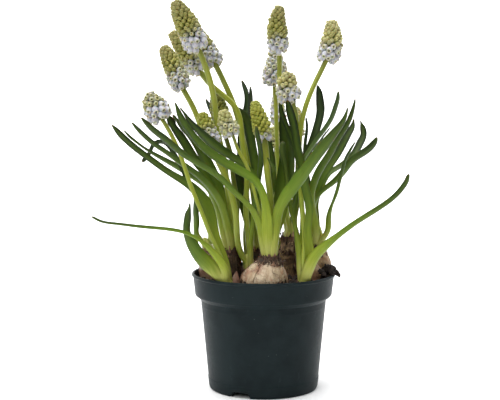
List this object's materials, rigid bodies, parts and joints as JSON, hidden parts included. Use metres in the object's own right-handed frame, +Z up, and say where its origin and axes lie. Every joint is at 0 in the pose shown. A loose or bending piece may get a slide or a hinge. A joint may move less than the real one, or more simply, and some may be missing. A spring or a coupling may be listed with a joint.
{
  "type": "grape hyacinth in a pot",
  "caption": "Clump of grape hyacinths growing in a round tapered nursery pot: bulbs half out of the compost, strap leaves and upright flower spikes of packed bells.",
  "frame": {"origin": "centre of the pot's underside, on the surface it stands on; the pot's axis is Z", "axes": "+Z up along the pot's axis, -Y towards the front of the plant (the side with the largest bulb), +X to the right seen from the front"},
  "size_m": [0.1862, 0.113, 0.2392],
  "materials": {
    "pot_plastic": "moulded polypropylene, soft satin sheen with fine scuffs",
    "compost": "rough moist crumbs",
    "tunic_tan": "papery bulb skin, satin, veined and cracked",
    "tunic_brown": "dry brown shaggy bulb skin",
    "leaf_green": "smooth channelled leaf, waxy sheen",
    "leaf_light": "smooth channelled leaf, waxy sheen",
    "leaf_dark": "smooth channelled leaf, waxy sheen",
    "leaf_olive": "smooth channelled leaf, waxy sheen",
    "leaf_pale": "young leaf, waxy sheen",
    "leaf_grey": "smooth leaf with a grey bloom",
    "flower_pale": "packed bells: yellow-green buds above, white bells below, on a smooth green stalk",
    "flower_brown": "packed brownish bells on a smooth green stalk",
    "flower_white": "packed white bells on a smooth green stalk",
    "flower_bud": "closed yellow-green buds on a smooth green stalk"
  },
  "bodies": {
    "root": {"pot": "pot_plastic", "soil": "compost", "bulb_front": "tunic_tan", "bulb_left": "tunic_brown", "bulb_far_left": "tunic_tan", "bulb_middle": "tunic_brown", "bulb_back_right": "tunic_brown", "bulb_right": "tunic_tan", "bulb_buried_left": "tunic_tan", "bulb_buried_right": "tunic_tan", "leaf_buried_left_1": "leaf_green", "leaf_buried_left_2": "leaf_light", "leaf_buried_left_3": "leaf_green", "leaf_left_1": "leaf_green", "leaf_left_2": "leaf_green", "leaf_left_3": "leaf_green", "leaf_left_4": "leaf_green", "leaf_left_5": "leaf_dark", "leaf_left_offset_1": "leaf_olive", "leaf_front_1": "leaf_green", "leaf_front_2": "leaf_light", "leaf_front_3": "leaf_green", "leaf_front_4": "leaf_light", "leaf_front_5": "leaf_pale", "leaf_front_6": "leaf_green", "leaf_front_7": "leaf_grey", "leaf_middle_1": "leaf_green", "leaf_left_offset_2": "leaf_green", "leaf_middle_2": "leaf_green", "leaf_middle_3": "leaf_dark", "leaf_middle_4": "leaf_dark", "leaf_back_right_1": "leaf_dark", "leaf_back_right_2": "leaf_dark", "leaf_right_1": "leaf_green", "leaf_right_2": "leaf_green", "leaf_right_3": "leaf_green", "leaf_right_4": "leaf_green", "leaf_right_5": "leaf_green", "leaf_right_6": "leaf_dark", "leaf_far_left_1": "leaf_green", "leaf_buried_right_1": "leaf_olive", "leaf_buried_right_2": "leaf_green", "leaf_buried_right_3": "leaf_green", "leaf_buried_right_4": "leaf_light", "flower_buried_left_1": "flower_pale", "flower_left_1": "flower_pale", "flower_left_2": "flower_brown", "flower_left_offset_1": "flower_pale", "flower_left_offset_2": "flower_pale", "flower_front_1": "flower_pale", "flower_middle_1": "flower_pale", "flower_front_2": "flower_pale", "flower_middle_2": "flower_pale", "flower_back_right_1": "flower_pale", "flower_back_right_2": "flower_white", "flower_back_right_3": "flower_bud", "flower_right_1": "flower_pale", "flower_right_2": "flower_bud", "flower_far_left_1": "flower_pale", "flower_buried_right_1": "flower_pale"}
  },
  "joints": []
}
